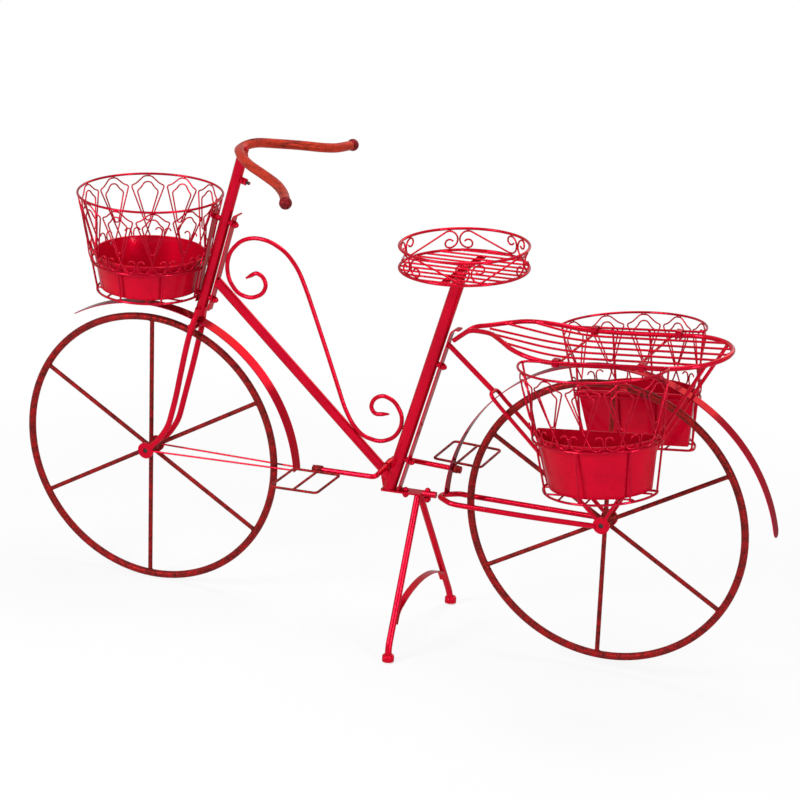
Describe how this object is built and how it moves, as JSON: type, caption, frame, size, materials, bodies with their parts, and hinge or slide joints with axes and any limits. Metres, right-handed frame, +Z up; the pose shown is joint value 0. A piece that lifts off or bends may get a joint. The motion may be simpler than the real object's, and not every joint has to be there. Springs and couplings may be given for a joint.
{
  "type": "bicycle-shaped metal planter",
  "caption": "Free-standing garden planter in the shape of an old bicycle: wire baskets with lift-out metal pots in front and at both sides, and a round wire tray for a seat.",
  "frame": {"origin": "on the floor, under the middle of the whole object's box", "axes": "-X towards the front wheel, +Y towards the planter's right side, +Z up"},
  "size_m": [1.6171, 0.5052, 0.9578],
  "materials": {
    "frame_paint": "gloss",
    "basket_paint": "gloss",
    "pot_paint": "gloss",
    "antique_wheel": "satin, dark brown brushed over red",
    "antique_bar": "satin, dark brown brushed over red",
    "antique_pedal": "satin, dark brown brushed over red",
    "axle_steel": "darkened, a little oily",
    "foot_plastic": "matte white"
  },
  "bodies": {
    "frame": {"front_fender": "frame_paint", "front_fender_stays": "frame_paint", "rear_fender": "frame_paint", "fork_blades": "frame_paint", "fork_bridge": "frame_paint", "stem_tube": "frame_paint", "handlebar": "antique_bar", "handlebar_balls": "antique_bar", "handlebar_screws": "frame_paint", "head_plate": "frame_paint", "seat_strip": "frame_paint", "strip_bolts": "frame_paint", "strip_spacers": "frame_paint", "strip_nuts": "frame_paint", "down_tube": "frame_paint", "seat_tube": "frame_paint", "gusset": "frame_paint", "frame_scroll": "frame_paint", "base_plate": "frame_paint", "base_bolts": "frame_paint", "stay_bar": "frame_paint", "chain_stays": "frame_paint", "seat_stays": "frame_paint", "rack_rail": "frame_paint", "rack_wires": "frame_paint", "rack_stays": "frame_paint", "stand_legs": "frame_paint", "stand_brace": "frame_paint", "foot_cups": "frame_paint", "foot_pads": "foot_plastic", "tray_rings": "frame_paint", "tray_scrolls": "frame_paint", "tray_floor": "frame_paint", "tray_bolt": "frame_paint", "front_basket_rings": "basket_paint", "front_basket_motifs": "basket_paint", "front_basket_ribs": "basket_paint", "front_basket_bracket": "basket_paint", "basket_clips": "basket_paint", "crank_bush": "frame_paint", "right_basket_rings": "basket_paint", "right_basket_motifs": "basket_paint", "right_basket_ribs": "basket_paint", "left_basket_rings": "basket_paint", "left_basket_motifs": "basket_paint", "left_basket_ribs": "basket_paint", "wheel_axles": "axle_steel"},
    "front_wheel": {"front_wheel_rim": "antique_wheel", "front_wheel_hub": "antique_wheel", "front_wheel_spokes": "antique_wheel"},
    "rear_wheel": {"rear_wheel_rim": "antique_wheel", "rear_wheel_hub": "antique_wheel", "rear_wheel_spokes": "antique_wheel"},
    "crank": {"crank_rod": "frame_paint", "crank_nuts": "antique_pedal"},
    "pedal_left": {"pedal_left": "antique_pedal"},
    "pedal_right": {"pedal_right": "antique_pedal"},
    "front_pot": {"front_pot": "pot_paint"},
    "left_pot": {"left_pot": "pot_paint"},
    "right_pot": {"right_pot": "pot_paint"}
  },
  "joints": [
    {"name": "front_wheel_turn", "type": "hinge", "parent": "frame", "child": "front_wheel", "pos_m": [-0.52117, -0.01394, 0.2874], "axis": [0, 1, 0], "continuous": true},
    {"name": "rear_wheel_turn", "type": "hinge", "parent": "frame", "child": "rear_wheel", "pos_m": [0.46783, -0.01394, 0.3124], "axis": [0, 1, 0], "continuous": true},
    {"name": "crank_turn", "type": "hinge", "parent": "frame", "child": "crank", "pos_m": [0.00983, -0.01394, 0.3484], "axis": [0, 0.9954, 0.0958], "range_deg": [-60, 25]},
    {"name": "pedal_left_turn", "type": "hinge", "parent": "crank", "child": "pedal_left", "pos_m": [-0.12517, -0.08, 0.33541], "axis": [0.9988, -0.0047, 0.0486], "range_deg": [-45, 45]},
    {"name": "pedal_right_turn", "type": "hinge", "parent": "crank", "child": "pedal_right", "pos_m": [0.15283, 0.01809, 0.34967], "axis": [0.9999, 0.0013, -0.0126], "range_deg": [-45, 45]},
    {"name": "front_pot_lift", "type": "slide", "parent": "frame", "child": "front_pot", "axis": [0, 0, 1], "range_m": [0, 0.22]},
    {"name": "left_pot_lift", "type": "slide", "parent": "frame", "child": "left_pot", "axis": [-0.1201, 0, 0.9928], "range_m": [0, 0.26]},
    {"name": "right_pot_lift", "type": "slide", "parent": "frame", "child": "right_pot", "axis": [-0.1201, 0, 0.9928], "range_m": [0, 0.26]}
  ]
}
